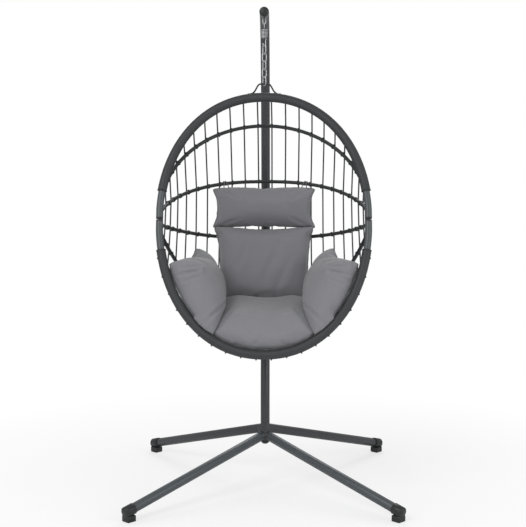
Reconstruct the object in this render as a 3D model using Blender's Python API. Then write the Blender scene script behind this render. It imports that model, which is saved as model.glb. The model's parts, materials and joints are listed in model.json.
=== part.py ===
"""Hanging egg chair: a wrapped oval basket with rope sides, hung on a spring and chain from a curved stand.

Metres, +Z up, the chair faces -Y. The origin is on the floor, in the middle of the four feet.
"""

import functools
import math

import bmesh
import bpy
from mathutils import Matrix, Vector

GAP = 0.0003  # clearance between two pieces that touch
SOFT_GAP = 0.0002  # clearance between a cushion and the rods behind it

# Stand
TUBE_R = 0.019  # legs and post, outside
TUBE_WALL = 0.0018
FOOT_REACH = 0.525  # foot centre to the middle of the stand, along X and along Y
FRONT_ARM_Z = 0.2115  # where the axes of the front legs meet the post's axis
REAR_ARM_Z = 0.240
LEG_END_Z = 0.037  # height of a leg's axis over its foot
HUB_BOTTOM = 0.186
HUB_TOP = 0.262
HUB_ARM = 0.030  # length of the hub's full-width arms, from its axis
HUB_CORE = 0.004  # where an arm starts inside the hub
SPIGOT = 0.055  # how far the hub reaches into a leg and into the post
SPIGOT_PLAY = 0.0005
FOOT_R = 0.022
FOOT_CUP = 0.040  # length of a leg that its foot covers
FOOT_END = 0.004  # end wall of the foot's cup
FOOT_PAD = 0.039  # side of the square pad under a foot
FOOT_PAD_TOP = 0.024
POST_STRAIGHT = 0.330  # the post is straight up to here
BELLY_Y = 0.300  # how far back the post bows
BELLY_Z = 1.100
ARM_Z = 1.9452  # axis of the arm, level at its end
ARM_OVERHANG = 0.026  # arm past the hanging axis
ARM_STRAIGHT = 0.020  # arm before the hanging axis that is straight
SLEEVE_HALF = 0.060  # straight run on each side of the post's seam, which holds the hidden sleeve

# Hanger
HANG_Y = -0.1555  # the line that everything hangs on
EYE_R = 0.0025
EYE_BEND = 0.009
EYE_DROP = 0.0287  # from the arm's axis down to the axis of the eye's lowest wire
SHACKLE_R = 0.002
SHACKLE_WIDTH = 0.011
SHACKLE_LENGTH = 0.0213  # between the axes of its end wires
SPRING_WIRE = 0.0018
SPRING_R = 0.0112
SPRING_COIL = 0.033  # length of the coiled stretch, on the wire's axis
SPRING_CURLS = 6
SPRING_TOP_STEM = 0.0247  # from the top hook's crown to the first curl
SPRING_LENGTH = 0.0900  # between the axes of its hooks' crowns
HOOK_BEND = 0.0065
HOOK_SWEEP = math.radians(215)  # from the hook's tip to its stem
HOOK_KNEE = 0.009  # from the coil's end to where the stem bends out to it
LINK_R = 0.00225
LINK_WIDTH = 0.019  # between the axes of a link's sides
LINK_INNER = 0.03125  # clear length inside a link
LINKS = 5
LINK_PLAY = 0.0005  # clearance between two links, and between the last one and the arch
CHAIN_TURN = math.radians(38)  # the even links' turn away from facing the front

# Basket ring
TILT = math.radians(16.5)  # the ring's lean: its bottom is forward
RING_R = 0.014
RING_WALL = 0.0015
WRAP_R = 0.018
RING_HALF_WIDTH = 0.406
RING_RISE = 0.495  # from the side joints up to the top, in the ring's plane
RING_DROP = 0.5275
RING_POWER = 2.12  # above 2, the oval is fuller than an ellipse
RING_STEP = math.radians(7.8)
WRAP_STEPS = 10  # the wrap ends this many steps from the top and from the bottom
JOINT_GAP = 0.005
JOINT_CAP = 0.005
PLUG_LENGTH = 0.010
BRIDGE_SIDE = 0.018
ARCH_R = 0.00325
ARCH_HEIGHT = 0.0556  # over the ring's axis
ARCH_HALF = 0.066
ARCH_SHOULDER = 0.033  # where the arch is half-way down
ARCH_FOOT = 0.012

# Cage
RIB_R = 0.0075
RIB_WALL = 0.0010
RIB_STEPS = 20
RIBS = {  # rise of its ends in the ring's plane; its middle's way back and up; all from the side joints
    # and then two exponents: how full it is across, and how soon it leaves the ring
    "rib_top": (0.0460, 0.3606, 0.3654, 2.0, 0.48),
    "rib_upper": (0.0180, 0.4806, 0.1310, 2.4, 0.52),
    "rib_lower": (-0.0160, 0.4806, -0.1112, 2.4, 0.66),
    "rib_seat": (-0.0400, 0.3600, -0.4200, 2.6, 0.85),
}
ROPE_R = 0.003
ROPES_A_SIDE = 10
ROPE_STEP_RING = math.radians(7.9)
ROPE_STEP_RIB = math.radians(8.2)
ROPE_SPREAD_RIB = RING_HALF_WIDTH - 0.012

# Cushions, in the cage's own coordinates: turn round from the middle, in degrees, and station from
# 0 at the ring's top over the four ribs, 1 to 4, to 5 at the ring's bottom
# corners as (turn, station): low left, low right, high right, high left; then the thickness, how square
# its edges are, what it lies on, and how far its sides and its ends draw in between the corners, as shares
CUSHIONS = {
    "seat_cushion": (((-30, 4.965), (30, 4.965), (30.5, 4.1), (-30.5, 4.1)), 0.12, 8, "ropes", 0, 0.03),
    "back_cushion": (((-28.5, 3.9), (28.5, 3.9), (34, 2.8), (-34, 2.8)), 0.095, 6, "ribs", 0.03, 0.03),
    "head_pillow": (((-32.3, 2.78), (32.3, 2.78), (32.3, 2.07), (-32.3, 2.07)), 0.1, 5, "ropes", 0.03, 0.05),
    "side_cushion_left": (((-64, 4.9), (-31.2, 4.96), (-46, 3.37), (-63, 4.35)), 0.14, 4, "ribs", -0.2, 0.02),
    "side_cushion_right": (((31.2, 4.96), (64, 4.9), (63, 4.35), (46, 3.37)), 0.14, 4, "ribs", -0.2, 0.02),
}
CUSHION_EDGE = 0.018  # height of a cushion's seam over its back
CUSHION_GRID = 11
TIE_R = 0.0015
TIE_TURN = math.radians(25.1)  # each pillow tie's place round the cage, from the middle
TIE_STEPS = 10

COLOURS = {  # colour, roughness, metallic
    "painted_tube": ((0.070, 0.078, 0.085), 0.42, 0.6),
    "black_plastic": ((0.018, 0.018, 0.020), 0.50, 0.0),
    "galvanised": ((0.30, 0.30, 0.31), 0.38, 0.9),
    "wrap": ((0.050, 0.056, 0.062), 0.70, 0.0),
    "rib": ((0.022, 0.024, 0.026), 0.55, 0.3),
    "rope": ((0.055, 0.057, 0.060), 0.85, 0.0),
    "cushion": ((0.200, 0.200, 0.212), 0.90, 0.0),
}

PLACES = {}  # world position of each pivot, by name


def clear_scene():
    for thing in list(bpy.data.objects):
        bpy.data.objects.remove(thing, do_unlink=True)


def finish(name):
    """The Principled material of one colour, made once."""
    if name in bpy.data.materials:
        return bpy.data.materials[name]
    material = bpy.data.materials.new(name)
    material.use_nodes = True
    shader = material.node_tree.nodes["Principled BSDF"]
    colour, roughness, metallic = COLOURS[name]
    shader.inputs["Base Color"].default_value = (*colour, 1.0)
    shader.inputs["Roughness"].default_value = roughness
    shader.inputs["Metallic"].default_value = metallic
    return material


def pivot(name, place, parent=None):
    """An empty on a joint's axis, which carries the pieces of one moving body."""
    empty = bpy.data.objects.new(name, None)
    bpy.context.collection.objects.link(empty)
    PLACES[name] = Vector(place)
    empty.parent = parent
    empty.location = PLACES[name] - (PLACES[parent.name] if parent else Vector())
    return empty


def add_piece(name, bm, colour, carrier, sharp=35):
    """A named object from a bmesh in world coordinates, carried by a pivot."""
    bmesh.ops.recalc_face_normals(bm, faces=bm.faces)
    if bm.calc_volume(signed=True) < 0:
        bmesh.ops.reverse_faces(bm, faces=bm.faces)
    mesh = bpy.data.meshes.new(name)
    bm.to_mesh(mesh)
    bm.free()
    mesh.materials.append(finish(colour))
    mesh.transform(Matrix.Translation(-PLACES[carrier.name]))
    mesh.shade_smooth()
    mesh.set_sharp_from_angle(angle=math.radians(sharp))
    piece = bpy.data.objects.new(name, mesh)
    bpy.context.collection.objects.link(piece)
    piece.parent = carrier
    return piece


def as_tool(piece):
    """A cutter or a shape to be joined to another: it isn't a piece of the chair."""
    piece.hide_render = True
    piece.display_type = "WIRE"
    return piece


def combine(piece, tool, operation):
    boolean = piece.modifiers.new(f"{operation.lower()}_{tool.name}", "BOOLEAN")
    boolean.operation = operation
    boolean.object = tool
    boolean.solver = "EXACT"


def headings(points, closed):
    """Direction of the path at each point, halfway between its two runs."""
    count = len(points)
    runs = [(points[(i + 1) % count] - points[i]).normalized() for i in range(count)]
    found = []
    for i in range(count):
        if closed or 0 < i < count - 1:
            found.append((runs[i - 1] + runs[i]).normalized())
        else:
            found.append(runs[0] if i == 0 else runs[count - 2])
    return found


def tube_mesh(path, radius, sides, bore=0.0, closed=False, first_side=None):
    """A tube along the path, solid or with a bore, its ends flat."""
    points = [Vector(p) for p in path]
    along = headings(points, closed)
    side = Vector(first_side) if first_side else along[0].orthogonal()
    side = (side - side.dot(along[0]) * along[0]).normalized()
    bm = bmesh.new()
    outer, inner = [], []
    for i, (point, heading) in enumerate(zip(points, along)):
        if i:
            side = (along[i - 1].rotation_difference(heading) @ side).normalized()
        across = heading.cross(side)
        turns = [math.tau * (k + 0.5) / sides for k in range(sides)]
        spokes = [math.cos(a) * side + math.sin(a) * across for a in turns]
        for rings, r in ((outer, radius), (inner, bore)):
            if r > 0:
                rings.append([bm.verts.new(point + r * spoke) for spoke in spokes])
    for rings in (outer, inner):
        pairs = list(zip(rings, rings[1:])) + ([(rings[-1], rings[0])] if closed and rings else [])
        for low, high in pairs:
            for k in range(sides):
                j = (k + 1) % sides
                bm.faces.new((low[k], low[j], high[j], high[k]))
    if not closed:
        for end in (0, -1):
            if inner:
                for k in range(sides):
                    j = (k + 1) % sides
                    bm.faces.new((outer[end][k], outer[end][j], inner[end][j], inner[end][k]))
            else:
                bm.faces.new(outer[end])
    return bm


def turned_mesh(profile, base, axis, sides):
    """A profile of (radius, height) points turned round an axis through base."""
    axis = Vector(axis).normalized()
    turn = Vector((0, 0, 1)).rotation_difference(axis).to_matrix().to_4x4()
    bm = bmesh.new()
    turns = [math.tau * (k + 0.5) / sides for k in range(sides)]
    rings = []
    for radius, height in profile:
        spots = [(radius * math.cos(a), radius * math.sin(a), height) for a in turns]
        rings.append([bm.verts.new(spot) for spot in (spots if radius else spots[:1])])
    for low, high in zip(rings, rings[1:]):
        for k in range(sides):
            j = (k + 1) % sides
            corners = [low[k % len(low)], low[j % len(low)], high[j % len(high)], high[k % len(high)]]
            bm.faces.new(dict.fromkeys(corners))
    bmesh.ops.transform(bm, matrix=Matrix.Translation(base) @ turn, verts=bm.verts)
    return bm


def bezier(p0, p1, p2, p3, steps):
    """Points along one cubic curve, without its first point."""
    p0, p1, p2, p3 = (Vector(p) for p in (p0, p1, p2, p3))
    found = []
    for i in range(1, steps + 1):
        t = i / steps
        u = 1 - t
        found.append(u**3 * p0 + 3 * u * u * t * p1 + 3 * u * t * t * p2 + t**3 * p3)
    return found


# ---------------------------------------------------------------- stand


def leg_axis(side_x, side_y):
    """Start on the post's axis and direction of a leg."""
    arm_z = FRONT_ARM_Z if side_y < 0 else REAR_ARM_Z
    start = Vector((0, 0, arm_z))
    end = Vector((side_x * FOOT_REACH, side_y * FOOT_REACH, LEG_END_Z))
    return start, (end - start).normalized(), (end - start).length


def make_hub(stand):
    bore = TUBE_R - TUBE_WALL
    spigot_r = bore - SPIGOT_PLAY
    profile = [(0, HUB_BOTTOM), (TUBE_R, HUB_BOTTOM), (TUBE_R, HUB_TOP - GAP), (spigot_r, HUB_TOP - GAP)]
    profile += [(spigot_r, HUB_TOP + SPIGOT), (0, HUB_TOP + SPIGOT)]
    hub = add_piece("hub", turned_mesh(profile, (0, 0, 0), (0, 0, 1), 16), "painted_tube", stand)
    for side_y in (-1, 1):
        for side_x in (-1, 1):
            start, heading, _ = leg_axis(side_x, side_y)
            arm = [(0, HUB_CORE), (TUBE_R - 0.001, HUB_CORE), (TUBE_R, HUB_ARM / 2), (TUBE_R, HUB_ARM - GAP)]
            arm += [(spigot_r, HUB_ARM - GAP)]
            arm += [(spigot_r, HUB_ARM + SPIGOT), (0, HUB_ARM + SPIGOT)]
            arm_bm = turned_mesh(arm, start, heading, 16)
            tool = add_piece(f"hub_arm_{side_x}_{side_y}", arm_bm, "painted_tube", stand)
            combine(hub, as_tool(tool), "UNION")
    cap = [(0, -0.012), (0.009, -0.0105), (0.0155, -0.006), (0.018, 0), (0.018, 0.004), (0, 0.004)]
    base = (0, 0, HUB_BOTTOM - GAP - 0.004)
    add_piece("hub_bottom_cap", turned_mesh(cap, base, (0, 0, 1), 16), "black_plastic", stand)


def make_leg(name, side_x, side_y, stand):
    start, heading, length = leg_axis(side_x, side_y)
    path = [start + heading * HUB_ARM, start + heading * length]
    add_piece(f"leg_{name}", tube_mesh(path, TUBE_R, 16, bore=TUBE_R - TUBE_WALL), "painted_tube", stand)
    make_foot(f"foot_{name}", start + heading * length, heading, stand)


def make_foot(name, leg_end, heading, stand):
    """A cup over the leg's end, on a square pad in line with the leg."""
    dome = [(0, -FOOT_CUP), (FOOT_R, -FOOT_CUP), (FOOT_R, FOOT_END * 0.4), (FOOT_R - 0.004, FOOT_END + 0.001)]
    dome += [(0, FOOT_END + 0.003)]
    foot = add_piece(name, turned_mesh(dome, leg_end, heading, 16), "black_plastic", stand)
    pad_bm = bmesh.new()
    bmesh.ops.create_cube(pad_bm, size=1.0)
    middle = leg_end - Vector((heading.x, heading.y, 0)).normalized() * (FOOT_PAD / 2 - 0.002)
    turn = Matrix.Rotation(math.atan2(heading.y, heading.x), 4, "Z")
    size = Matrix.Diagonal((FOOT_PAD, FOOT_PAD, FOOT_PAD_TOP, 1))
    place = Matrix.Translation((middle.x, middle.y, FOOT_PAD_TOP / 2))
    bmesh.ops.transform(pad_bm, matrix=place @ turn @ size, verts=pad_bm.verts)
    bmesh.ops.bevel(pad_bm, geom=pad_bm.edges[:], offset=0.002, segments=1, affect="EDGES")
    pad = as_tool(add_piece(f"{name}_pad", pad_bm, "black_plastic", stand))
    combine(foot, pad, "UNION")
    bore_r = (TUBE_R + GAP) / math.cos(math.pi / 16)  # its flats clear the tube's corners
    bore = [(0, -FOOT_CUP - 0.03), (bore_r, -FOOT_CUP - 0.03), (bore_r, GAP), (0, GAP)]
    cutter = add_piece(f"{name}_bore", turned_mesh(bore, leg_end, heading, 16), "black_plastic", stand)
    combine(foot, as_tool(cutter), "DIFFERENCE")


def post_path():
    """The post's axis in two lengths: from the hub to the belly, and from there to the arm's end."""
    straight_top = (0, 0, POST_STRAIGHT)
    belly = Vector((0, BELLY_Y, BELLY_Z))
    rise, climb = BELLY_Z - POST_STRAIGHT, ARM_Z - BELLY_Z
    below, above = belly - Vector((0, 0, SLEEVE_HALF)), belly + Vector((0, 0, SLEEVE_HALF))
    arm_start = (0, HANG_Y + ARM_STRAIGHT, ARM_Z)
    arm_end = Vector((0, HANG_Y - ARM_OVERHANG, ARM_Z))
    lower = [Vector((0, 0, HUB_TOP)), Vector(straight_top)]
    low_handles = (0, 0, POST_STRAIGHT + 0.30 * rise), (0, BELLY_Y, BELLY_Z - 0.415 * rise)
    high_handles = (0, BELLY_Y, BELLY_Z + 0.64 * climb), (0, HANG_Y + 0.72 * (BELLY_Y - HANG_Y), ARM_Z)
    lower += bezier(straight_top, *low_handles, below, 9)
    upper = [belly, above] + bezier(above, *high_handles, arm_start, 14)
    return lower + [belly], upper + [arm_end]


def make_post(stand):
    lower, upper = post_path()
    bore = TUBE_R - TUBE_WALL
    seam = Vector((0, 0, GAP / 2))
    lower[-1] = lower[-1] - seam
    upper[0] = upper[0] + seam
    add_piece("post_lower", tube_mesh(lower, TUBE_R, 16, bore, first_side=(1, 0, 0)), "painted_tube", stand)
    add_piece("post_upper", tube_mesh(upper, TUBE_R, 16, bore, first_side=(1, 0, 0)), "painted_tube", stand)
    belly = Vector((0, BELLY_Y, BELLY_Z))
    reach = Vector((0, 0, SLEEVE_HALF - SPIGOT_PLAY))
    sleeve = [belly - reach, belly + reach]
    sleeve_r = bore - SPIGOT_PLAY
    sleeve_bm = tube_mesh(sleeve, sleeve_r, 16, sleeve_r - TUBE_WALL, first_side=(1, 0, 0))
    add_piece("post_sleeve", sleeve_bm, "painted_tube", stand)
    cap = [(0, -0.012), (sleeve_r, -0.012), (sleeve_r, GAP), (TUBE_R, GAP), (TUBE_R, 0.002)]
    cap += [(TUBE_R - 0.003, 0.005), (TUBE_R - 0.009, 0.007), (0, 0.008)]
    add_piece("arm_end_cap", turned_mesh(cap, upper[-1], (0, -1, 0), 16), "black_plastic", stand)
    clearance = tube_mesh(upper, TUBE_R + GAP, 16, first_side=(1, 0, 0))
    cutter = as_tool(add_piece("arm_clearance", clearance, "painted_tube", stand))
    make_arm_eye(stand, cutter)


def make_arm_eye(stand, arm_clearance):
    """A bent rod under the arm, its ends fitted to the tube."""
    centre = Vector((0, HANG_Y, ARM_Z - EYE_DROP + EYE_BEND))
    path = [centre + Vector((0, -EYE_BEND, 0.012))]
    for i in range(9):
        a = math.pi + math.pi * i / 8
        path.append(centre + EYE_BEND * Vector((0, math.cos(a), math.sin(a))))
    path.append(centre + Vector((0, EYE_BEND, 0.012)))
    eye = add_piece("arm_eye", tube_mesh(path, EYE_R, 8, first_side=(1, 0, 0)), "painted_tube", stand)
    combine(eye, arm_clearance, "DIFFERENCE")


# ---------------------------------------------------------------- hanger


def link_path(centre, width, length, facing, steps):
    """The axis of an oval link. width and length are between the axes of its sides and ends."""
    bend = width / 2
    straight = length / 2 - bend
    across = Vector((math.cos(facing), math.sin(facing), 0))
    points = []
    for end in (1, -1):
        for i in range(steps + 1):
            a = math.pi * i / steps + (0 if end > 0 else math.pi)
            offset = across * bend * math.cos(a) + Vector((0, 0, bend * math.sin(a) + end * straight))
            points.append(centre + offset)
    return points


def make_link(name, centre, width, length, wire, facing, carrier):
    path = link_path(centre, width, length, facing, 6)
    normal = Vector((-math.sin(facing), math.cos(facing), 0))
    add_piece(name, tube_mesh(path, wire, 8, closed=True, first_side=normal), "galvanised", carrier)


def hook_path(crown_z, coil_z, facing):
    """From the hook's tip over its crown and along its stem, nearly to the coil.

    facing is the turn of the hook's plane; the stem stands on its side of the axis.
    """
    back = Vector((0, 0, 1 if crown_z > coil_z else -1))  # from the coil towards the crown
    out = Vector((math.cos(facing), math.sin(facing), 0))
    crown_middle = Vector((0, HANG_Y, crown_z)) - back * HOOK_BEND
    points = []
    for i in range(9):
        a = HOOK_SWEEP * (1 - i / 8)
        points.append(crown_middle + HOOK_BEND * (math.cos(a) * out + math.sin(a) * back))
    coil_start = Vector((0, HANG_Y, coil_z)) + SPRING_R * out
    knee = Vector((0, HANG_Y, coil_z)) + HOOK_BEND * out + back * HOOK_KNEE
    return points + [knee, knee.lerp(coil_start, 0.5)]


def spring_path(top_crown, bottom_crown):
    """One wire: top hook, curls, bottom hook."""
    coil_top = top_crown - SPRING_TOP_STEM
    coil_bottom = coil_top - SPRING_COIL
    top_facing = math.pi / 2
    bottom_facing = CHAIN_TURN
    top = hook_path(top_crown, coil_top, top_facing)
    bottom = hook_path(bottom_crown, coil_bottom, bottom_facing)
    turn = math.tau * SPRING_CURLS + (top_facing - bottom_facing)
    steps = round(turn / math.tau * 10)
    coil = []
    for i in range(steps + 1):
        a = top_facing - turn * i / steps
        z = coil_top + (coil_bottom - coil_top) * i / steps
        coil.append(Vector((SPRING_R * math.cos(a), HANG_Y + SPRING_R * math.sin(a), z)))
    return top + coil + bottom[::-1]


def least_gap(path, wire):
    """Least clear distance between stretches of one wire that aren't neighbours along it."""
    near = 6
    fine = []
    for a, b in zip(path, path[1:]):
        fine += [a.lerp(b, i / 3) for i in range(3)]
    least = min((p - q).length for i, p in enumerate(fine) for q in fine[i + 3 * near :])
    return least - 2 * wire


def hanger_heights():
    """Heights of the axes of what hangs under the arm, from the top down."""
    eye = ARM_Z - EYE_DROP
    shackle_top = eye + EYE_R + SHACKLE_R + GAP
    shackle_bottom = shackle_top - SHACKLE_LENGTH
    top_crown = shackle_bottom + SHACKLE_R + SPRING_WIRE + GAP
    bottom_crown = top_crown - SPRING_LENGTH
    first_top = bottom_crown + SPRING_WIRE + LINK_R + GAP
    first_link = first_top - LINK_INNER / 2 - LINK_R
    links = [first_link - i * (LINK_INNER - LINK_PLAY) for i in range(LINKS)]
    arch_top = links[-1] - LINK_INNER / 2 + LINK_PLAY + ARCH_R
    return {
        "eye": eye,
        "shackle": (shackle_top, shackle_bottom),
        "spring": (top_crown, bottom_crown),
        "links": links,
        "arch": arch_top,
    }


def make_hanger(stand):
    """Shackle, spring and chain, each on the pivot that moves it. Returns the pivot of the basket."""
    heights = hanger_heights()
    side_swing = pivot("side_swing_axis", (0, HANG_Y, heights["eye"]), stand)
    shackle_middle = Vector((0, HANG_Y, sum(heights["shackle"]) / 2))
    make_link("shackle", shackle_middle, SHACKLE_WIDTH, SHACKLE_LENGTH, SHACKLE_R, 0.0, side_swing)

    fore_aft = pivot("fore_aft_swing_axis", (0, HANG_Y, heights["shackle"][1]), side_swing)
    path = spring_path(*heights["spring"])
    print(f"spring: least gap between curls {least_gap(path, SPRING_WIRE) * 1000:.2f} mm")
    add_piece("spring", tube_mesh(path, SPRING_WIRE, 6), "galvanised", fore_aft)

    bounce = pivot("bounce_axis", (0, HANG_Y, heights["spring"][1]), fore_aft)
    link_length = LINK_INNER + 2 * LINK_R
    twist_z = heights["links"][0] - link_length / 2
    twist = pivot("twist_axis", (0, HANG_Y, twist_z), bounce)
    for i, z in enumerate(heights["links"]):
        facing = CHAIN_TURN + (math.pi / 2 if i % 2 == 0 else 0)
        carrier = twist if i else bounce
        middle = Vector((0, HANG_Y, z))
        make_link(f"chain_link_{i + 1}", middle, LINK_WIDTH, link_length, LINK_R, facing, carrier)
    return pivot("tilt_axis", (0, HANG_Y, heights["arch"]), twist)


# ---------------------------------------------------------------- basket ring


@functools.lru_cache
def joint_place():
    """The middle of the ring at the height of its side joints, and the ring's own way up."""
    up = Vector((0, math.sin(TILT), math.cos(TILT)))
    arch_top = Vector((0, HANG_Y, hanger_heights()["arch"]))
    return arch_top - up * (ARCH_HEIGHT + RING_RISE), up


def ring_at(x, rise):
    centre, up = joint_place()
    return centre + Vector((x, 0, 0)) + up * rise


def oval(turn):
    """Across and up in the ring's plane, for a turn from the ring's top, positive to +X."""
    power = 2 / RING_POWER
    s, c = math.sin(turn), math.cos(turn)
    across = math.copysign(abs(s) ** power, s) * RING_HALF_WIDTH
    reach = RING_RISE if c > 0 else RING_DROP
    return across, math.copysign(abs(c) ** power, c) * reach


def turn_at_rise(rise):
    """The turn from the top (or bottom, when rise is negative) at which the oval has that height."""
    reach = RING_RISE if rise > 0 else RING_DROP
    turn = math.acos((abs(rise) / reach) ** (RING_POWER / 2))
    return turn if rise > 0 else math.pi - turn


def oval_rise(across, upper):
    """Height on the oval's upper or lower half at a distance across."""
    share = (1 - (abs(across) / RING_HALF_WIDTH) ** RING_POWER) ** (1 / RING_POWER)
    return share * (RING_RISE if upper else -RING_DROP)


def half_ring(upper, wrapped):
    """Points of half the ring's axis, from -X to +X, at the steps that wrap and tube share."""
    steps = WRAP_STEPS if wrapped else WRAP_STEPS + 1
    turns = [i * RING_STEP for i in range(-steps, steps + 1)]
    if not upper:
        turns = [math.pi - t for t in turns]
    points = [ring_at(*oval(t)) for t in turns]
    if not wrapped:
        end_rise = (JOINT_GAP / 2 + JOINT_CAP + GAP) * (1 if upper else -1)
        points = [ring_at(points[0].x, end_rise)] + points + [ring_at(points[-1].x, end_rise)]
    return points


def make_ring(basket):
    """Both halves of the ring with their wraps. Returns clearance cutters by half and cover."""
    normal = (0, math.cos(TILT), -math.sin(TILT))
    cutters = {}
    for half, upper in (("upper", True), ("lower", False)):
        tube = half_ring(upper, False)
        wrap = half_ring(upper, True)
        bare = tube_mesh(tube, RING_R, 10, RING_R - RING_WALL, first_side=normal)
        add_piece(f"ring_{half}_tube", bare, "painted_tube", basket)
        cover = tube_mesh(wrap, WRAP_R, 10, RING_R + GAP, first_side=normal)
        add_piece(f"ring_{half}_wrap", cover, "wrap", basket)
        for kind, path, radius in (("tube", tube, RING_R), ("wrap", wrap, WRAP_R)):
            bm = tube_mesh(path, radius + GAP, 10, first_side=normal)
            cutters[half, kind] = as_tool(add_piece(f"clear_{half}_{kind}", bm, "wrap", basket))
    return cutters


def make_side_joint(name, side, basket):
    """Two plugged caps with a bridge on their inner side, in the gap between the ring's halves."""
    _, up = joint_place()
    centre = ring_at(side * oval((WRAP_STEPS + 1) * RING_STEP)[0], 0)
    plug_r = RING_R - RING_WALL - 3 * SPIGOT_PLAY
    low = JOINT_GAP / 2
    high = low + JOINT_CAP
    cap = [(0, low), (RING_R, low), (RING_R, high), (plug_r, high), (plug_r, high + PLUG_LENGTH)]
    cap += [(0, high + PLUG_LENGTH)]
    upper = add_piece(name, turned_mesh(cap, centre, up, 12), "black_plastic", basket)
    lower = add_piece(f"{name}_lower", turned_mesh(cap, centre, -up, 12), "black_plastic", basket)
    combine(upper, as_tool(lower), "UNION")
    bm = bmesh.new()
    bmesh.ops.create_cube(bm, size=1.0)
    size = Matrix.Diagonal((RING_R * 1.1, BRIDGE_SIDE, JOINT_GAP + JOINT_CAP, 1))
    inward = Vector((-side * RING_R * 0.35, 0, 0))
    place = Matrix.Translation(centre + inward) @ Matrix.Rotation(-TILT, 4, "X")
    bmesh.ops.transform(bm, matrix=place @ size, verts=bm.verts)
    combine(upper, as_tool(add_piece(f"{name}_bridge", bm, "black_plastic", basket)), "UNION")


def arch_point(across):
    """A point of the arch's bell-shaped axis, in the ring's plane."""
    swell = 1 / (1 + (abs(across) / ARCH_SHOULDER) ** 6)
    return ring_at(across, RING_RISE + ARCH_FOOT + (ARCH_HEIGHT - ARCH_FOOT) * swell)


def make_arch(basket, clear_wrap):
    path = [arch_point(ARCH_HALF * i / 10) for i in range(-10, 11)]
    normal = (0, math.cos(TILT), -math.sin(TILT))
    arch = add_piece("hanging_arch", tube_mesh(path, ARCH_R, 8, first_side=normal), "rib", basket)
    combine(arch, clear_wrap, "DIFFERENCE")


# ---------------------------------------------------------------- cage


def rib_frame(name):
    """Middle between the rib's ends, half-width, and the vector from there to the rib's middle."""
    rise, back, up = RIBS[name][:3]
    chord = ring_at(0, rise)
    middle = joint_place()[0] + Vector((0, back, up))
    return chord, oval(turn_at_rise(rise))[0], middle - chord


@functools.lru_cache
def rib_path(name):
    """The rib's axis, from its -X end to its +X end."""
    chord, half, depth = rib_frame(name)
    fullness, ends = RIBS[name][3:]
    path = []
    for i in range(RIB_STEPS + 1):
        share = math.sin(math.pi * (i / RIB_STEPS - 0.5))
        reach = (1 - abs(share) ** fullness) ** ends
        path.append(chord + Vector((half * share, 0, 0)) + depth * reach)
    return path


def rib_point(name, across_share):
    """A point on one of the rib's straight runs, at a share of its half-width from -1 to 1."""
    path = rib_path(name)
    across = path[-1].x * across_share
    for low, high in zip(path, path[1:]):
        if across <= high.x:
            break
    return low.lerp(high, (across - low.x) / (high.x - low.x))


def rib_run(name, across_share):
    """Direction of the rib at that place, towards +X."""
    step = 0.02
    return (rib_point(name, across_share + step) - rib_point(name, across_share - step)).normalized()


def make_rib(name, cutters, basket):
    normal = Vector((1, 0, 0)).cross(rib_frame(name)[2])
    bm = tube_mesh(rib_path(name), RIB_R, 8, RIB_R - RIB_WALL, first_side=normal)
    rib = add_piece(name, bm, "rib", basket)
    combine(rib, cutters["upper" if RIBS[name][0] > 0 else "lower", "tube"], "DIFFERENCE")


def rope_stations(number):
    """Where rope number 1 to 10 of the +X side meets the ring's top, each rib and the ring's bottom."""
    place = number - 0.5
    ring_x = RING_HALF_WIDTH * math.sin(place * ROPE_STEP_RING)
    rib_x = ROPE_SPREAD_RIB * math.sin(place * ROPE_STEP_RIB)
    top = ring_at(ring_x, oval_rise(ring_x, True))
    bottom = ring_at(ring_x, oval_rise(ring_x, False))
    return top, [(name, rib_x / rib_frame(name)[1]) for name in RIBS], bottom


def rope_path(number, side):
    """A taut route: straight between the ribs, and bent round the outside of each."""
    top, crossings, bottom = rope_stations(number)
    centres = [rib_point(name, share) for name, share in crossings]
    knots = [top] + centres + [bottom]
    path = [top]
    for i, (name, share) in enumerate(crossings, start=1):
        rib = rib_run(name, share)
        before = (knots[i] - knots[i - 1]).normalized()
        after = (knots[i + 1] - knots[i]).normalized()
        out_before = before.cross(rib).normalized()
        out_after = after.cross(rib).normalized()
        if out_before.dot(knots[i] - Vector((0, HANG_Y, knots[i].z))) < 0:
            out_before, out_after = -out_before, -out_after
        half_bend = out_before.angle(out_after) / 2
        reach = (RIB_R + ROPE_R + GAP) / math.cos(half_bend)
        path += [knots[i] + out_before * reach, knots[i] + out_after * reach]
    path.append(bottom)
    return [Vector((side * p.x, p.y, p.z)) for p in path]


def make_ropes(cutters, basket):
    """Ropes 1 to 20 from left to right."""
    places = [(-1, n) for n in range(ROPES_A_SIDE, 0, -1)] + [(1, n) for n in range(1, ROPES_A_SIDE + 1)]
    for index, (side, number) in enumerate(places, start=1):
        bm = tube_mesh(rope_path(number, side), ROPE_R, 6)
        rope = add_piece(f"rope_{index:02d}", bm, "rope", basket)
        combine(rope, cutters["upper", "wrap"], "DIFFERENCE")
        combine(rope, cutters["lower", "wrap"], "DIFFERENCE")


# ---------------------------------------------------------------- cushions


def cage_point(turn, station):
    """A point on the surface through the rods' axes."""
    share = math.sin(turn)

    def at(stop):
        if stop in (0, 5):
            return ring_at(RING_HALF_WIDTH * share, oval_rise(RING_HALF_WIDTH * share, stop == 0))
        return rib_point(list(RIBS)[stop - 1], share)

    low = min(int(station), 4)
    return at(low).lerp(at(low + 1), station - low)


def cage_inward(turn, station):
    """Direction into the basket, square to the cage."""
    d = 0.02
    across = cage_point(turn + d, station) - cage_point(turn - d, station)
    along = cage_point(turn, min(station + d, 5)) - cage_point(turn, station - d)
    inward = across.cross(along).normalized()
    to_middle = joint_place()[0] - cage_point(turn, station)
    return inward if inward.dot(to_middle) > 0 else -inward


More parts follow.
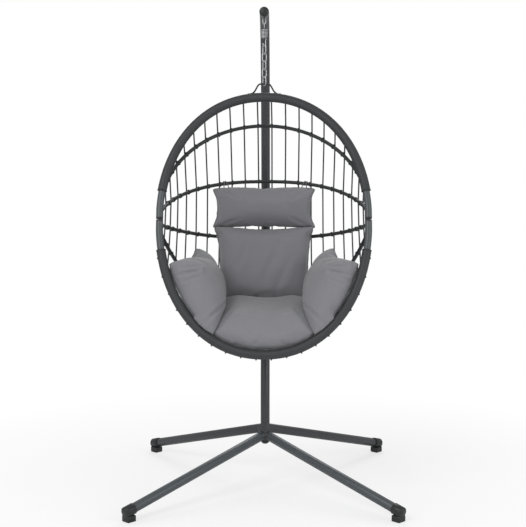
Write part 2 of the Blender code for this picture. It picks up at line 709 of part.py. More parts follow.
def seat_depth(station, carrier):
    """How far inside the rods' axes a cushion's back lies on the ribs, or on the ropes between them."""
    if carrier == "ribs":
        return RIB_R * math.cos(math.pi / 8) + GAP
    outside = max(0, 1 - max(station - 4, 1 - station, 0)) * (RIB_R + ROPE_R + GAP)
    return ROPE_R - GAP - outside


def cushion_spot(corners, s, t, draw_sides, draw_ends):
    """Turn and station for a place on the cushion, s and t from -1 to 1, its outline drawn in."""
    u = (s * (1 - draw_sides * (1 - t * t)) + 1) / 2
    v = (t * (1 - draw_ends * (1 - s * s)) + 1) / 2
    a, b, c, d = (Vector(corner) for corner in corners)
    spot = a.lerp(b, u).lerp(d.lerp(c, u), v)
    return math.radians(spot.x), spot.y


def cushion_column(corners, s, steps, draws):
    """Spots up one column of the cushion's grid; the one nearest to a rib lies on that rib."""
    spots = [cushion_spot(corners, s, t, *draws) for t in steps]
    stations = [station for _, station in spots]
    for stop in range(1, len(RIBS) + 1):
        if min(stations) < stop < max(stations):
            nearest = min(range(1, len(steps) - 1), key=lambda j: abs(stations[j] - stop))
            spots[nearest] = (spots[nearest][0], stop)
    return spots


def make_cushion(name, basket):
    corners, thickness, fullness, carrier, *draws = CUSHIONS[name]
    steps = [math.sin(math.pi * (i / CUSHION_GRID - 0.5)) for i in range(CUSHION_GRID + 1)]
    bm = bmesh.new()
    back, front = {}, {}
    for i, s in enumerate(steps):
        for j, (turn, station) in enumerate(cushion_column(corners, s, steps, draws)):
            t = steps[j]
            point, inward = cage_point(turn, station), cage_inward(turn, station)
            fill = ((1 - abs(s) ** fullness) * (1 - abs(t) ** fullness)) ** 0.5
            depth = seat_depth(station, carrier) + SOFT_GAP
            bare = depth + CUSHION_EDGE * (1 - fill**0.25)
            back[i, j] = bm.verts.new(point + inward * bare)
            if 0 < i < CUSHION_GRID and 0 < j < CUSHION_GRID:
                high = depth + CUSHION_EDGE + (thickness - CUSHION_EDGE) * fill
                front[i, j] = bm.verts.new(point + inward * high)
            else:
                front[i, j] = back[i, j]
    for sheet in (back, front):
        for i in range(CUSHION_GRID):
            for j in range(CUSHION_GRID):
                bm.faces.new((sheet[i, j], sheet[i + 1, j], sheet[i + 1, j + 1], sheet[i, j + 1]))
    add_piece(name, bm, "cushion", basket, sharp=80)


def make_pillow_tie(name, side, basket):
    """A string from the pillow's top edge that goes round the upper rib."""
    share = side * math.sin(TIE_TURN)
    centre = rib_point("rib_upper", share)
    run = rib_run("rib_upper", share)
    bend = math.radians(285) / TIE_STEPS
    loop = (RIB_R + TIE_R + GAP) / math.cos(bend / 2)
    front = (Vector((0, -1, 0)) - Vector((0, -1, 0)).dot(run) * run).normalized()
    down = run.cross(front).normalized()
    if down.z > 0:
        down = -down
    path = [centre + front * loop * 1.05 + down * 0.0155]
    for i in range(TIE_STEPS + 1):
        a = bend * i
        path.append(centre + loop * (math.cos(a) * front - math.sin(a) * down))
    add_piece(name, tube_mesh(path, TIE_R, 6), "cushion", basket)


def make_chair():
    clear_scene()
    stand = pivot("stand_middle", (0, 0, 0))
    make_hub(stand)
    for side_y, end in ((-1, "front"), (1, "rear")):
        for side_x, hand in ((-1, "left"), (1, "right")):
            make_leg(f"{end}_{hand}", side_x, side_y, stand)
    make_post(stand)
    basket = make_hanger(stand)
    cutters = make_ring(basket)
    make_arch(basket, cutters["upper", "wrap"])
    for side, hand in ((-1, "left"), (1, "right")):
        make_side_joint(f"side_joint_{hand}", side, basket)
    for name in RIBS:
        make_rib(name, cutters, basket)
    make_ropes(cutters, basket)
    for name in CUSHIONS:
        make_cushion(name, basket)
    for side, hand in ((-1, "left"), (1, "right")):
        make_pillow_tie(f"pillow_tie_{hand}", side, basket)


make_chair()
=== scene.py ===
"""Hanging egg chair: finishes, cushions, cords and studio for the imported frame."""

import json
import math
from collections import namedtuple

import bpy
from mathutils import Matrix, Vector, noise
from mathutils.bvhtree import BVHTree
from mathutils.kdtree import KDTree


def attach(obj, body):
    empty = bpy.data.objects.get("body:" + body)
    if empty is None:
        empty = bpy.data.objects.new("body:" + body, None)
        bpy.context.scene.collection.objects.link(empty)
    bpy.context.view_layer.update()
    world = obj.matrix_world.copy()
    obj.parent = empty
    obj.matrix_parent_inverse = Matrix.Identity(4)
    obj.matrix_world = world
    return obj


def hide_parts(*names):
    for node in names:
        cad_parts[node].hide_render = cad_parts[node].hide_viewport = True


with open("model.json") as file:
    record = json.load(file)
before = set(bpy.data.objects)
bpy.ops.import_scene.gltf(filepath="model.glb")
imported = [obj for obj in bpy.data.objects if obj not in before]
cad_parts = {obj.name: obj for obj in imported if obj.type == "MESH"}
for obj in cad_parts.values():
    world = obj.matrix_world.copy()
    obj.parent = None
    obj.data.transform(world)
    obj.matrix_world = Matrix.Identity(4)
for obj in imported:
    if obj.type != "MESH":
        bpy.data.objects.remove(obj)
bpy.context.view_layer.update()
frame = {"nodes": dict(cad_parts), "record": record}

BODY_OF = {node: body for body, nodes in frame["record"]["behaviour"]["bodies"].items() for node in nodes}

# ---------------------------------------------------------------- sizes in metres, as in the solid model

HANG_Y = -0.1555  # the line that everything hangs on
TUBE_R = 0.019
POST_FOOT = 0.262
POST_STRAIGHT = 0.330  # the post is straight up to here
BELLY_Y = 0.300  # furthest back and height of the post's bow
BELLY_Z = 1.100
BELLY_HALF = 0.060  # straight part to each side of the bow's middle, where the two lengths meet
POST_SEAM = 0.0004
ARM_Z = 1.9452
EYE_R = 0.0025
EYE_BEND = 0.009
EYE_LOW = 1.9165  # lowest of the eye's middle line; the hanger's other heights are of middle lines too
SHACKLE_R = 0.002
SHACKLE_HIGH = 1.9213
SHACKLE_LOW = 1.9000
SHACKLE_WIDTH = 0.011
SHACKLE_LENGTH = 0.0213
SPRING_R = 0.0018
SPRING_HIGH = 1.9041  # crowns of its two hooks
SPRING_LOW = 1.8141
HOOK_BEND = 0.0065
HOOK_HEIGHT = 0.0247  # from a hook's crown to the coil
COIL_R = 0.0112
COIL_HEIGHT = 0.033
COIL_TURNS = 6
LINK_R = 0.00225
LINK_FIRST = 1.800575  # middle of the first link
LINK_PITCH = 0.03075
LINK_WIDTH = 0.019
LINK_LENGTH = 0.03575
CHAIN_TURN = math.radians(38)
RING_R = 0.014
RING_TUBE_END = math.radians(85.8)
RING_TUBE_GAP = 0.0078  # half the way between the two tubes inside a side joint
WRAP_R = 0.018
TILT = math.radians(16.5)
SIDE_JOINTS = Vector((0, -0.31188, 1.13777))  # middle of the ring, level with its side joints
UP = Vector((0, math.sin(TILT), math.cos(TILT)))
RING_NORMAL = Vector((0, math.cos(TILT), -math.sin(TILT)))
RING_HALF_WIDTH = 0.406
RING_RISE = 0.495
RING_DROP = 0.5275
RING_POWER = 2.12
WRAP_END = math.radians(78)
RIB_R = 0.0075
RIBS = {  # rise of its ends, its middle's way back and up, how full it is across, how soon it leaves the ring
    "rib_top": (0.0460, 0.3606, 0.3654, 2.0, 0.48),
    "rib_upper": (0.0180, 0.4806, 0.1310, 2.4, 0.52),
    "rib_lower": (-0.0160, 0.4806, -0.1112, 2.4, 0.66),
    "rib_seat": (-0.0400, 0.3600, -0.4200, 2.6, 0.85),
}
ROPE_R = 0.003
ROPE_GAP = 0.0003  # between a rope and the rib it bends over
ROPE_STEP_RING = math.radians(7.9)  # from rope to rope, as a turn across the ring and across the ribs
ROPE_STEP_RIBS = math.radians(8.2)
ROPE_INSET = 0.012  # the ropes' spread on the ribs is this much less wide
TIE_R = 0.0021
TIE_TURN = math.radians(25.1)  # where the pillow's strings go round their rib
ARCH_R = 0.00325
ARCH_HEIGHT = 0.0556
ARCH_HALF = 0.066
ARCH_SHOULDER = 0.033
ARCH_FOOT = 0.012


# ---------------------------------------------------------------- small tools


def deselect():
    bpy.ops.object.select_all(action="DESELECT")


def pick(*pieces):
    """Selects these pieces alone, with the first as the active one."""
    deselect()
    for piece in pieces:
        piece.select_set(True)
    bpy.context.view_layer.objects.active = pieces[0]


def apply_modifier(piece, kind, **settings):
    modifier = piece.modifiers.new(kind.title(), kind)
    for name, value in settings.items():
        setattr(modifier, name, value)
    pick(piece)
    bpy.ops.object.modifier_apply(modifier=modifier.name)


def smooth(piece, degrees):
    pick(piece)
    bpy.ops.object.shade_smooth_by_angle(angle=math.radians(degrees))


def paint(piece, material):
    piece.data.materials.clear()
    piece.data.materials.append(material)


def settle(piece, node, material, *more_nodes):
    """The piece stands for its nodes, rides on their body and gets its finish."""
    paint(piece, material)
    piece.name = f"{node}_made"
    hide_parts(node, *more_nodes)
    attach(piece, BODY_OF[node])
    return piece


RODS = []  # (point, radius) along every rod that a cushion may press on
ROD_STEP = 0.003


def press_on(points, radius):
    for a, b in zip(points, points[1:]):
        count = max(1, round((b - a).length / ROD_STEP))
        RODS.extend((a.lerp(b, i / count), radius) for i in range(count))


def rod(points, radius, sides=12, closed=False):
    """A round rod along the points, its map in metres: across the rod, then along it."""
    curve = bpy.data.curves.new("rod", "CURVE")
    curve.dimensions = "3D"
    curve.twist_mode = "MINIMUM"
    curve.bevel_depth = radius
    curve.bevel_resolution = max(0, sides // 4 - 1)
    curve.use_fill_caps = not closed
    spline = curve.splines.new("POLY")
    spline.points.add(len(points) - 1)
    for spot, point in zip(spline.points, points):
        spot.co = (*point, 1)
    spline.use_cyclic_u = closed
    piece = bpy.data.objects.new("rod", curve)
    bpy.context.collection.objects.link(piece)
    pick(piece)
    bpy.ops.object.convert(target="MESH")
    smooth(piece, 50)
    length = sum((b - a).length for a, b in zip(points, points[1:]))
    if piece.data.uv_layers:
        for corner in piece.data.uv_layers[0].data:
            corner.uv = (corner.uv[1] * math.tau * radius, corner.uv[0] * length)
    return piece


def joined(pieces):
    pick(*pieces)
    if len(pieces) > 1:
        bpy.ops.object.join()
    return pieces[0]


def bezier(p0, p1, p2, p3, steps):
    """Points along the curve, without its first."""
    p0, p1, p2, p3 = (Vector(p) for p in (p0, p1, p2, p3))
    found = []
    for i in range(1, steps + 1):
        t = i / steps
        u = 1 - t
        found.append(u**3 * p0 + 3 * u * u * t * p1 + 3 * u * t * t * p2 + t**3 * p3)
    return found


def point_tree(points):
    """For finding the nearest of these points."""
    tree = KDTree(len(points))
    for i, point in enumerate(points):
        tree.insert(point, i)
    tree.balance()
    return tree


# ---------------------------------------------------------------- finishes


class Finish:
    """One material, its nodes added by name."""

    def __init__(self, name, colour, roughness, metallic=0.0, **plain):
        self.material = bpy.data.materials.new(name)
        self.material.use_nodes = True
        self.tree = self.material.node_tree
        self.shader = self.tree.nodes["Principled BSDF"]
        self.colour = (*colour, 1.0)
        self.set(self.shader, "Base Color", self.colour)
        self.set(self.shader, "Roughness", roughness)
        self.set(self.shader, "Metallic", metallic)
        for socket, value in plain.items():
            self.set(self.shader, socket.replace("_", " "), value)

    def set(self, node, socket, value):
        node.inputs[socket].default_value = value

    def node(self, kind, **values):
        node = self.tree.nodes.new(kind)
        for name, value in values.items():
            if name in node.inputs:
                node.inputs[name].default_value = value
            else:
                setattr(node, name, value)
        return node

    def link(self, source, target):
        self.tree.links.new(source, target)

    def effect(self, group, **values):
        node = self.tree.nodes.new("ShaderNodeGroup")
        node.node_tree = group
        for name, value in values.items():
            node.inputs[name.replace("_", " ")].default_value = value
        return node

    def shade_by(self, mask, darker, lighter):
        """Base colour that runs between two shares of the plain colour."""
        ramp = self.node("ShaderNodeMix", data_type="RGBA")
        colours = [c for c in ramp.inputs if c.type == "RGBA"]
        colours[0].default_value = tuple(c * darker for c in self.colour[:3]) + (1,)
        colours[1].default_value = tuple(min(1, c * lighter) for c in self.colour[:3]) + (1,)
        self.link(mask, ramp.inputs[0])
        self.link([c for c in ramp.outputs if c.type == "RGBA"][0], self.shader.inputs["Base Color"])

    def rough_by(self, mask, low, high):
        span = self.node("ShaderNodeMapRange")
        self.link(mask, span.inputs["Value"])
        self.set(span, "To Min", low)
        self.set(span, "To Max", high)
        self.link(span.outputs["Result"], self.shader.inputs["Roughness"])

    def relief(self, *heights):
        """Bump nodes in a row: (height socket, depth in metres)."""
        last = None
        for height, depth in heights:
            bump = self.node("ShaderNodeBump")
            self.set(bump, "Distance", depth)
            self.link(height, bump.inputs["Height"])
            if last:
                self.link(last.outputs["Normal"], bump.inputs["Normal"])
            last = bump
        self.link(last.outputs["Normal"], self.shader.inputs["Normal"])


def effect_group(name, inputs, outputs):
    """A group of nodes with named inputs, each with its usual value, and named outputs."""
    group = bpy.data.node_groups.new(name, "ShaderNodeTree")
    for label, value in inputs.items():
        socket = group.interface.new_socket(label, in_out="INPUT", socket_type="NodeSocketFloat")
        socket.default_value = value
    for label in outputs:
        group.interface.new_socket(label, in_out="OUTPUT", socket_type="NodeSocketFloat")
    return group, group.nodes.new("NodeGroupInput"), group.nodes.new("NodeGroupOutput")


def math_node(group, operation, first, second=None):
    node = group.nodes.new("ShaderNodeMath")
    node.operation = operation
    for place, value in ((0, first), (1, second)):
        if isinstance(value, (int, float)):
            node.inputs[place].default_value = value
        elif value is not None:
            group.links.new(value, node.inputs[place])
    return node.outputs[0]


def noise_node(group, vector, scale, detail, roughness=0.5):
    node = group.nodes.new("ShaderNodeTexNoise")
    node.inputs["Detail"].default_value = detail
    node.inputs["Roughness"].default_value = roughness
    group.links.new(vector, node.inputs["Vector"])
    group.links.new(scale, node.inputs["Scale"])
    return node.outputs["Fac"]


def make_grain():
    """Fine grain over slow patches, for paint, plastic and zinc."""
    inputs = {"Fine": 900.0, "Broad": 9.0}
    group, given, out = effect_group("grain_and_patches", inputs, ("Grain", "Patches"))
    place = group.nodes.new("ShaderNodeTexCoord").outputs["Object"]
    group.links.new(noise_node(group, place, given.outputs["Fine"], 2.0), out.inputs["Grain"])
    group.links.new(noise_node(group, place, given.outputs["Broad"], 4.0), out.inputs["Patches"])
    return group


def make_winding():
    """Strands wound round a rod, read from its map: grooves across it, with a slight slant."""
    inputs = {"Strand": 0.006, "Slant": 0.05}
    group, given, out = effect_group("wound_strands", inputs, ("Height", "Groove"))
    place = group.nodes.new("ShaderNodeUVMap").outputs["UV"]
    split = group.nodes.new("ShaderNodeSeparateXYZ")
    group.links.new(place, split.inputs[0])
    slanted = math_node(group, "MULTIPLY", split.outputs["X"], given.outputs["Slant"])
    along = math_node(group, "ADD", split.outputs["Y"], slanted)
    turns = math_node(group, "DIVIDE", along, given.outputs["Strand"])
    wave = math_node(group, "SINE", math_node(group, "MULTIPLY", turns, math.pi))
    round_top = math_node(group, "POWER", math_node(group, "ABSOLUTE", wave), 0.5)
    group.links.new(round_top, out.inputs["Height"])
    group.links.new(math_node(group, "LESS_THAN", round_top, 0.45), out.inputs["Groove"])
    return group


def make_weave():
    """Plain weave read from the piece's place, on whichever plane its surface faces most."""
    inputs = {"Threads": 900.0, "Slubs": 60.0}
    group, given, out = effect_group("plain_weave", inputs, ("Height", "Slub"))
    coords = group.nodes.new("ShaderNodeTexCoord")
    split = group.nodes.new("ShaderNodeSeparateXYZ")
    group.links.new(coords.outputs["Object"], split.inputs[0])
    facing = group.nodes.new("ShaderNodeSeparateXYZ")
    group.links.new(coords.outputs["Normal"], facing.inputs[0])
    turns = math_node(group, "MULTIPLY", given.outputs["Threads"], math.pi)
    waves = {}
    weights = {}
    for axis in "XYZ":
        waves[axis] = math_node(group, "SINE", math_node(group, "MULTIPLY", split.outputs[axis], turns))
        weights[axis] = math_node(group, "POWER", math_node(group, "ABSOLUTE", facing.outputs[axis]), 4.0)
    total = None
    for axis, (a, b) in {"X": "YZ", "Y": "XZ", "Z": "XY"}.items():
        crossing = math_node(group, "MULTIPLY", waves[a], waves[b])
        part = math_node(group, "MULTIPLY", crossing, weights[axis])
        total = part if total is None else math_node(group, "ADD", total, part)
    group.links.new(total, out.inputs["Height"])
    stretched = group.nodes.new("ShaderNodeMapping")
    stretched.inputs["Scale"].default_value = (1.0, 1.0, 9.0)
    group.links.new(coords.outputs["Object"], stretched.inputs["Vector"])
    slubs = noise_node(group, stretched.outputs[0], given.outputs["Slubs"], 5.0, 0.7)
    group.links.new(slubs, out.inputs["Slub"])
    return group


GRAIN = make_grain()
WINDING = make_winding()
WEAVE = make_weave()


def painted(name, colour, roughness=0.42):
    """Powder coat: a fine orange peel with slow changes of gloss."""
    finish = Finish(name, colour, roughness, 0.0, Specular_IOR_Level=0.5)
    grain = finish.effect(GRAIN, Fine=1400.0, Broad=11.0)
    finish.shade_by(grain.outputs["Patches"], 0.88, 1.12)
    finish.rough_by(grain.outputs["Patches"], roughness - 0.07, roughness + 0.09)
    finish.relief((grain.outputs["Patches"], 0.0004), (grain.outputs["Grain"], 0.00008))
    return finish.material


def moulded(name, colour, roughness=0.48):
    """Plastic with the mould's fine grain."""
    finish = Finish(name, colour, roughness, 0.0)
    grain = finish.effect(GRAIN, Fine=2200.0, Broad=25.0)
    finish.shade_by(grain.outputs["Patches"], 0.85, 1.15)
    finish.rough_by(grain.outputs["Grain"], roughness - 0.08, roughness + 0.08)
    finish.relief((grain.outputs["Grain"], 0.0001))
    return finish.material


def zinc(name, colour, roughness=0.34):
    """Plated steel with the patches of its crystals."""
    finish = Finish(name, colour, roughness, 0.85)
    grain = finish.effect(GRAIN, Fine=700.0, Broad=160.0)
    finish.shade_by(grain.outputs["Patches"], 0.72, 1.25)
    finish.rough_by(grain.outputs["Patches"], roughness - 0.1, roughness + 0.16)
    finish.relief((grain.outputs["Patches"], 0.00012), (grain.outputs["Grain"], 0.00005))
    return finish.material


def wound(name, colour, strand, slant, depth, roughness=0.55):
    """Flat resin strand wound tight round a rod."""
    finish = Finish(name, colour, roughness, 0.0)
    winding = finish.effect(WINDING, Strand=strand, Slant=slant)
    grain = finish.effect(GRAIN, Fine=500.0, Broad=14.0)
    # the colour darkens in the grooves between the strands, on the ring's wrap and the cords: painted shade
    finish.shade_by(winding.outputs["Height"], 0.55, 1.10)
    finish.rough_by(grain.outputs["Patches"], roughness - 0.08, roughness + 0.1)
    finish.relief((grain.outputs["Grain"], 0.00015), (winding.outputs["Height"], depth))
    return finish.material


def cloth(name, colour):
    """Plain woven cloth with thicker threads here and there."""
    finish = Finish(name, colour, 0.9, 0.0, Sheen_Weight=0.25, Sheen_Roughness=0.5)
    weave = finish.effect(WEAVE, Threads=820.0)
    grain = finish.effect(GRAIN, Fine=260.0, Broad=7.0)
    finish.shade_by(weave.outputs["Slub"], 0.90, 1.10)
    finish.rough_by(grain.outputs["Patches"], 0.84, 0.96)
    slubs, threads = (weave.outputs["Slub"], 0.0003), (weave.outputs["Height"], 0.0002)
    finish.relief((grain.outputs["Patches"], 0.0012), slubs, threads)
    return finish.material


# base colours are linear, matched to the photograph
PAINT = painted("slate_powder_coat", (0.060, 0.070, 0.076))
# the same slate powder coat made darker: painted shade for the post, hub, rear legs, sleeve and eye
PAINTED_SHADE_COAT = painted("slate_powder_coat_painted_shade", (0.035, 0.039, 0.042))
RIB_PAINT = painted("rib_powder_coat", (0.018, 0.020, 0.022), 0.5)
BLACK = moulded("black_moulded_plastic", (0.012, 0.013, 0.014))
ZINC = zinc("zinc_plated_steel", (0.46, 0.47, 0.48))
WRAP = wound("ring_strand", (0.028, 0.031, 0.033), 0.0065, 0.02, 0.0006)
ROPE = wound("cord_strand", (0.048, 0.051, 0.053), 0.0030, 0.9, 0.0005, 0.7)
CLOTH = cloth("grey_canvas", (0.205, 0.205, 0.222))
SEAM = cloth("seam_thread", (0.120, 0.120, 0.132))
TIE = cloth("tie_string", (0.170, 0.170, 0.180))
KNOT = cloth("tie_knot", (0.018, 0.018, 0.020))


# ---------------------------------------------------------------- stand


def dress(node, material, edge):
    """A merged copy of a node with its edges broken."""
    source = frame["nodes"][node]
    piece = source.copy()
    piece.data = source.data.copy()
    bpy.context.collection.objects.link(piece)
    pick(piece)
    bpy.ops.object.mode_set(mode="EDIT")
    bpy.ops.mesh.select_all(action="SELECT")
    bpy.ops.mesh.remove_doubles(threshold=0.00001)
    bpy.ops.mesh.dissolve_limited(angle_limit=math.radians(1.0))
    bpy.ops.object.mode_set(mode="OBJECT")
    sharp = math.radians(50)
    apply_modifier(piece, "BEVEL", width=edge, segments=2, limit_method="ANGLE", angle_limit=sharp)
    smooth(piece, 40)
    return settle(piece, node, material)


def ring_round(centre, axis, radius, thick, steps=28):
    """A bead of round section that runs round an axis."""
    axis = Vector(axis).normalized()
    side = axis.orthogonal().normalized()
    across = axis.cross(side)
    turns = [math.tau * i / steps for i in range(steps)]
    points = [Vector(centre) + radius * (math.cos(a) * side + math.sin(a) * across) for a in turns]
    return rod(points, thick, 8, closed=True)


def post_courses():
    """Middle lines of the post's two lengths."""
    below, above = (0, BELLY_Y, BELLY_Z - BELLY_HALF), (0, BELLY_Y, BELLY_Z + BELLY_HALF)
    rise, climb = BELLY_Z - POST_STRAIGHT, ARM_Z - BELLY_Z
    low_handles = (0, 0, POST_STRAIGHT + 0.30 * rise), (0, BELLY_Y, BELLY_Z - 0.415 * rise)
    high_handles = (0, BELLY_Y, BELLY_Z + 0.64 * climb), (0, HANG_Y + 0.72 * (BELLY_Y - HANG_Y), ARM_Z)
    lower = [Vector((0, 0, POST_FOOT)), Vector((0, 0, POST_STRAIGHT))]
    lower += bezier((0, 0, POST_STRAIGHT), *low_handles, below, 48)
    lower += [Vector((0, BELLY_Y, BELLY_Z - POST_SEAM))]
    upper = [Vector((0, BELLY_Y, BELLY_Z + POST_SEAM)), Vector(above)]
    upper += bezier(above, *high_handles, (0, HANG_Y + 0.020, ARM_Z), 64)
    upper += [Vector((0, HANG_Y - 0.026, ARM_Z))]
    return lower, upper


def make_stand():
    for node in ("leg_front_left", "leg_front_right"):
        dress(node, PAINT, 0.0006)
    # the hub and rear legs take the darker copy of the paint: painted shade
    for node in ("hub", "leg_rear_left", "leg_rear_right"):
        dress(node, PAINTED_SHADE_COAT, 0.0006)
    for node in ("foot_front_left", "foot_front_right", "foot_rear_left", "foot_rear_right"):
        dress(node, BLACK, 0.0015)
    for node in ("hub_bottom_cap", "arm_end_cap"):
        dress(node, BLACK, 0.0012)
    # the sleeve and the post take the darker copy of the paint too: painted shade
    paint(frame["nodes"]["post_sleeve"], PAINTED_SHADE_COAT)
    lower, upper = post_courses()
    settle(rod(lower, TUBE_R, 32), "post_lower", PAINTED_SHADE_COAT)
    settle(rod(upper, TUBE_R, 32), "post_upper", PAINTED_SHADE_COAT)


def make_eye():
    """The bent rod under the arm, with a weld at each foot."""
    centre = Vector((0, HANG_Y, EYE_LOW + EYE_BEND))
    path = [centre + Vector((0, -EYE_BEND, 0.004))]
    for i in range(25):
        a = math.pi + math.pi * i / 24
        path.append(centre + EYE_BEND * Vector((0, math.cos(a), math.sin(a))))
    path.append(centre + Vector((0, EYE_BEND, 0.004)))
    eye = rod(path, EYE_R)
    feet = [centre + Vector((0, side * EYE_BEND, 0.0022)) for side in (-1, 1)]
    beads = [ring_round(foot, (0, 0, 1), 0.0028, 0.0012) for foot in feet]
    # the eye takes the darker copy of the paint: painted shade
    settle(joined([eye] + beads), "arm_eye", PAINTED_SHADE_COAT)


# ---------------------------------------------------------------- hanger


def link_points(z, width, length, facing):
    """Middle line of an upright link, its width and length also between middle lines."""
    steps = 16
    bend = width / 2
    straight = length / 2 - bend
    across = Vector((math.cos(facing), math.sin(facing), 0))
    points = []
    for end in (1, -1):
        for i in range(steps + 1):
            a = math.pi * i / steps + (0 if end > 0 else math.pi)
            middle = Vector((0, HANG_Y, z + bend * math.sin(a) + end * straight))
            points.append(middle + across * bend * math.cos(a))
    return points


def hook_points(crown_z, coil_z, facing):
    """One hook of the spring, from its tip to the start of the coil."""
    back = Vector((0, 0, 1 if crown_z > coil_z else -1))
    out = Vector((math.cos(facing), math.sin(facing), 0))
    middle = Vector((0, HANG_Y, crown_z)) - back * HOOK_BEND
    points = []
    for i in range(25):
        a = math.radians(215) * (1 - i / 24)
        points.append(middle + HOOK_BEND * (math.cos(a) * out + math.sin(a) * back))
    coil_start = Vector((0, HANG_Y, coil_z)) + COIL_R * out
    knee = Vector((0, HANG_Y, coil_z)) + HOOK_BEND * out + back * 0.009
    return points + [knee, knee.lerp(coil_start, 0.35), knee.lerp(coil_start, 0.7)]


def make_hanger():
    shackle = link_points((SHACKLE_HIGH + SHACKLE_LOW) / 2, SHACKLE_WIDTH, SHACKLE_LENGTH, 0.0)
    settle(rod(shackle, SHACKLE_R, closed=True), "shackle", ZINC)
    coil_top = SPRING_HIGH - HOOK_HEIGHT
    turn = math.tau * COIL_TURNS + (math.pi / 2 - CHAIN_TURN)
    steps = round(turn / math.tau * 36)
    coil = []
    for i in range(steps + 1):
        a = math.pi / 2 - turn * i / steps
        z = coil_top - COIL_HEIGHT * i / steps
        coil.append(Vector((COIL_R * math.cos(a), HANG_Y + COIL_R * math.sin(a), z)))
    top = hook_points(SPRING_HIGH, coil_top, math.pi / 2)
    bottom = hook_points(SPRING_LOW, coil_top - COIL_HEIGHT, CHAIN_TURN)
    settle(rod(top + coil + bottom[::-1], SPRING_R), "spring", ZINC)
    for i in range(5):
        facing = CHAIN_TURN + (math.pi / 2 if i % 2 == 0 else 0)
        points = link_points(LINK_FIRST - LINK_PITCH * i, LINK_WIDTH, LINK_LENGTH, facing)
        body = rod(points, LINK_R, closed=True)
        weld = ring_round((points[0] + points[-1]) / 2, (0, 0, 1), 0.0019, 0.0007)
        settle(joined([body, weld]), f"chain_link_{i + 1}", ZINC)


# ---------------------------------------------------------------- basket ring


def ring_at(x, rise):
    """A place in the ring's plane."""
    return SIDE_JOINTS + Vector((x, 0, 0)) + UP * rise


def oval(turn):
    """Across and rise of the ring's middle line, its turn counted from the top."""
    power = 2 / RING_POWER
    s, c = math.sin(turn), math.cos(turn)
    across = math.copysign(abs(s) ** power, s) * RING_HALF_WIDTH
    return across, math.copysign(abs(c) ** power, c) * (RING_RISE if c > 0 else RING_DROP)


def oval_rise(across, upper):
    """Rise of the ring's middle line at this way across."""
    share = (1 - (abs(across) / RING_HALF_WIDTH) ** RING_POWER) ** (1 / RING_POWER)
    return share * (RING_RISE if upper else -RING_DROP)


def half_ring(upper, end, steps):
    turns = [-end + 2 * end * i / steps for i in range(steps + 1)]
    if not upper:
        turns = [math.pi - t for t in turns]
    return [ring_at(*oval(t)) for t in turns]


def arch_point(across):
    """Middle line of the bent wire on the ring's top."""
    swell = 1 / (1 + (abs(across) / ARCH_SHOULDER) ** 6)
    return ring_at(across, RING_RISE + ARCH_FOOT + (ARCH_HEIGHT - ARCH_FOOT) * swell)


def make_ring():
    for half, upper in (("upper", True), ("lower", False)):
        tube = half_ring(upper, RING_TUBE_END, 88)
        end_rise = RING_TUBE_GAP if upper else -RING_TUBE_GAP
        tube = [ring_at(tube[0].x, end_rise)] + tube + [ring_at(tube[-1].x, end_rise)]
        settle(rod(tube, RING_R, 24), f"ring_{half}_tube", PAINT)
        path = half_ring(upper, WRAP_END, 160)
        press_on(path, WRAP_R)
        pieces = [rod(path, WRAP_R, 28)]
        for end, inward in ((0, 1), (-1, -2)):
            heading = path[inward] - path[end]
            for turn in (0.0012, 0.0040):  # the wrap ends in two raised turns
                centre = path[end] + heading.normalized() * turn
                pieces.append(ring_round(centre, heading, WRAP_R - 0.0004, 0.0014, 40))
        settle(joined(pieces), f"ring_{half}_wrap", WRAP)
    for hand in ("left", "right"):
        dress(f"side_joint_{hand}", BLACK, 0.0008)
    arch = rod([arch_point(ARCH_HALF * i / 40) for i in range(-40, 41)], ARCH_R)
    settle(arch, "hanging_arch", RIB_PAINT)


# ---------------------------------------------------------------- cage


def rib_frame(name):
    """Middle between the rod's ends, half its width there, and the way from there to its middle."""
    rise, back, up = RIBS[name][:3]
    reach = RING_RISE if rise > 0 else RING_DROP
    turn = math.acos((abs(rise) / reach) ** (RING_POWER / 2))
    chord = ring_at(0, rise)
    return chord, oval(turn if rise > 0 else math.pi - turn)[0], SIDE_JOINTS + Vector((0, back, up)) - chord


def rib_point(name, share):
    """A place on a rod's middle line, its share from -1 at the left end to 1."""
    chord, half, depth = rib_frame(name)
    fullness, ends = RIBS[name][3:]
    return chord + Vector((half * share, 0, 0)) + depth * max(0.0, 1 - abs(share) ** fullness) ** ends


def rib_way(name, share):
    """Direction of the rod at this share."""
    return (rib_point(name, share + 0.02) - rib_point(name, share - 0.02)).normalized()


def make_ribs():
    for name in RIBS:
        points = [rib_point(name, math.sin(math.pi * (i / 90 - 0.5))) for i in range(91)]
        press_on(points, RIB_R)
        settle(rod(points, RIB_R, 16), name, RIB_PAINT)


def rope_course(number):
    """Middle line of one cord and the places where it goes round a rib."""
    place = number - 0.5
    ring_x = RING_HALF_WIDTH * math.sin(place * ROPE_STEP_RING)
    rib_x = (RING_HALF_WIDTH - ROPE_INSET) * math.sin(place * ROPE_STEP_RIBS)
    top, bottom = (ring_at(ring_x, oval_rise(ring_x, upper)) for upper in (True, False))
    shares = [rib_x / rib_frame(name)[1] for name in RIBS]
    knots = [top] + [rib_point(name, share) for name, share in zip(RIBS, shares)] + [bottom]
    path, turns = [top], []
    for i, (name, share) in enumerate(zip(RIBS, shares), start=1):
        rib = rib_way(name, share)
        before = (knots[i] - knots[i - 1]).normalized()
        after = (knots[i + 1] - knots[i]).normalized()
        out_before, out_after = before.cross(rib).normalized(), after.cross(rib).normalized()
        if out_before.dot(knots[i] - Vector((0, HANG_Y, knots[i].z))) < 0:
            out_before, out_after = -out_before, -out_after
        reach = RIB_R + ROPE_R + ROPE_GAP
        for j in range(5):
            path.append(knots[i] + out_before.lerp(out_after, j / 4).normalized() * reach)
        turns.append((knots[i], rib, out_before.lerp(out_after, 0.5).normalized()))
    path.append(bottom)
    return path, turns, ring_x


def mirror_x(points, side):
    """The points themselves for side 1, mirrored left to right for -1."""
    return [Vector((side * p.x, p.y, p.z)) for p in points]


